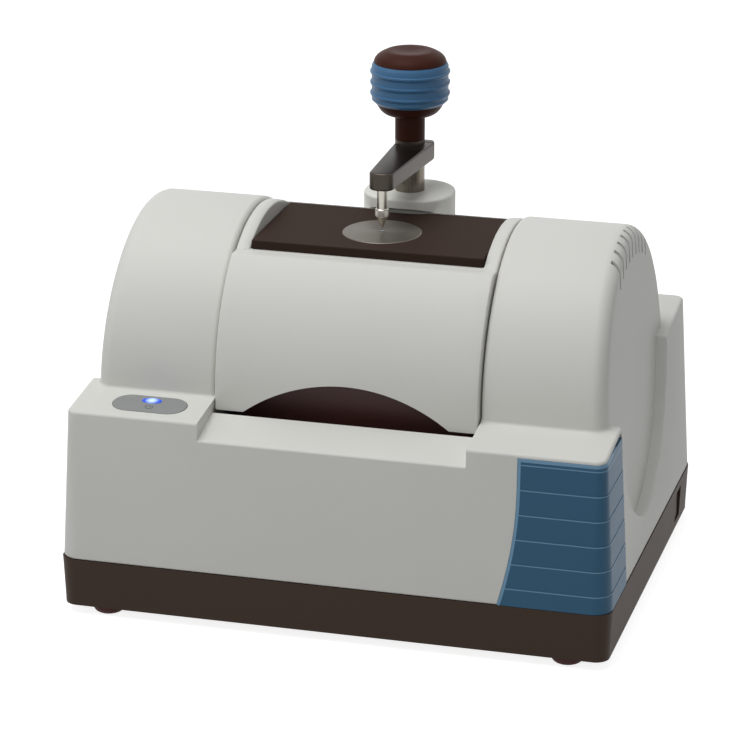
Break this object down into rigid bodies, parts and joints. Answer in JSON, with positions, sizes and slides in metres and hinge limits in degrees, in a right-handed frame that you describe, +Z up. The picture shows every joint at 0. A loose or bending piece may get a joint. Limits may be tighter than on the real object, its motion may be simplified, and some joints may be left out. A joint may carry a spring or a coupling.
{
  "type": "ftir spectrometer",
  "caption": "Compact bench infrared spectrometer: white cover with arched housings, dark base, and a lift-out crystal accessory with a pressure arm and ribbed knob.",
  "frame": {"origin": "on the bench, under the middle of the footprint", "axes": "+X to the user's right, +Y to the back, +Z up"},
  "size_m": [0.45, 0.35, 0.4205],
  "materials": {
    "cover_white": "satin moulded plastic, fine texture",
    "base_dark": "dark textured plastic",
    "feet_rubber": "moulded rubber",
    "panel_blue": "satin blue plastic",
    "grip_blue": "soft blue rubber",
    "key_grey": "satin grey plastic",
    "lamp_blue": "clear blue lens",
    "black_plate": "dark anodised or painted",
    "steel": "brushed stainless steel",
    "crystal_glass": "polished optical crystal",
    "bare_aluminium": "machined aluminium",
    "mirror_face": "first-surface mirror",
    "inner_parts": "plated steel",
    "circuit": "circuit board and moulded sockets"
  },
  "bodies": {
    "instrument": {"main_cover": "cover_white", "base_plinth": "base_dark", "bay_tray": "base_dark", "rubber_feet": "feet_rubber", "corner_panel": "panel_blue", "bay_windows": "crystal_glass", "beamsplitter": "crystal_glass", "optics_plate": "bare_aluminium", "plate_pillars": "bare_aluminium", "beamsplitter_mount": "bare_aluminium", "guide_rods": "bare_aluminium", "source_housing": "bare_aluminium", "detector": "bare_aluminium", "fixed_mirror": "bare_aluminium", "detector_mirror": "bare_aluminium", "ir_source": "inner_parts", "drive_magnet": "inner_parts", "reference_laser": "inner_parts", "cover_screws": "inner_parts", "electronics_board": "circuit", "power_inlet": "circuit", "data_port": "circuit", "socket_plate": "circuit"},
    "accessory": {"accessory_base": "black_plate", "accessory_chassis": "black_plate", "transfer_mirrors": "bare_aluminium", "accessory_housing": "cover_white", "accessory_cover": "cover_white", "top_plate": "black_plate", "crystal_disc": "steel", "crystal": "crystal_glass", "tower_base": "cover_white", "tower_column": "steel"},
    "lift_sleeve": {"neck_sleeve": "black_plate"},
    "arm": {"pressure_arm": "steel", "pressure_pin": "steel", "pin_collar": "steel", "pin_tip": "steel"},
    "knob": {"knob_core": "black_plate", "knob_grip": "grip_blue"},
    "key": {"power_key": "key_grey", "status_lamp": "lamp_blue"},
    "carriage": {"mirror_carriage": "bare_aluminium", "moving_mirror": "mirror_face"}
  },
  "joints": [
    {"name": "accessory_lift", "type": "slide", "parent": "instrument", "child": "accessory", "axis": [0, 0, 1], "range_m": [0, 0.16]},
    {"name": "arm_lift", "type": "slide", "parent": "accessory", "child": "lift_sleeve", "axis": [0, 0, 1], "range_m": [0, 0.008]},
    {"name": "arm_swing", "type": "hinge", "parent": "lift_sleeve", "child": "arm", "pos_m": [0, 0.074, 0.337], "axis": [0, 0, 1], "range_deg": [-90, 90]},
    {"name": "knob_turn", "type": "hinge", "parent": "lift_sleeve", "child": "knob", "pos_m": [0, 0.074, 0.39], "axis": [0, 0, 1], "range_deg": [0, 720]},
    {"name": "key_press", "type": "slide", "parent": "instrument", "child": "key", "axis": [0, 0.1063, -0.9943], "range_m": [0, 0.0015], "stiffness_N_per_m": 400, "springref_m": -0.001},
    {"name": "mirror_slide", "type": "slide", "parent": "instrument", "child": "carriage", "axis": [0, 1, 0], "range_m": [-0.005, 0.005]}
  ],
  "couplings": [
    {"joint": "arm_lift", "follows": "knob_turn", "m_per_rad": 0.00063662}
  ]
}
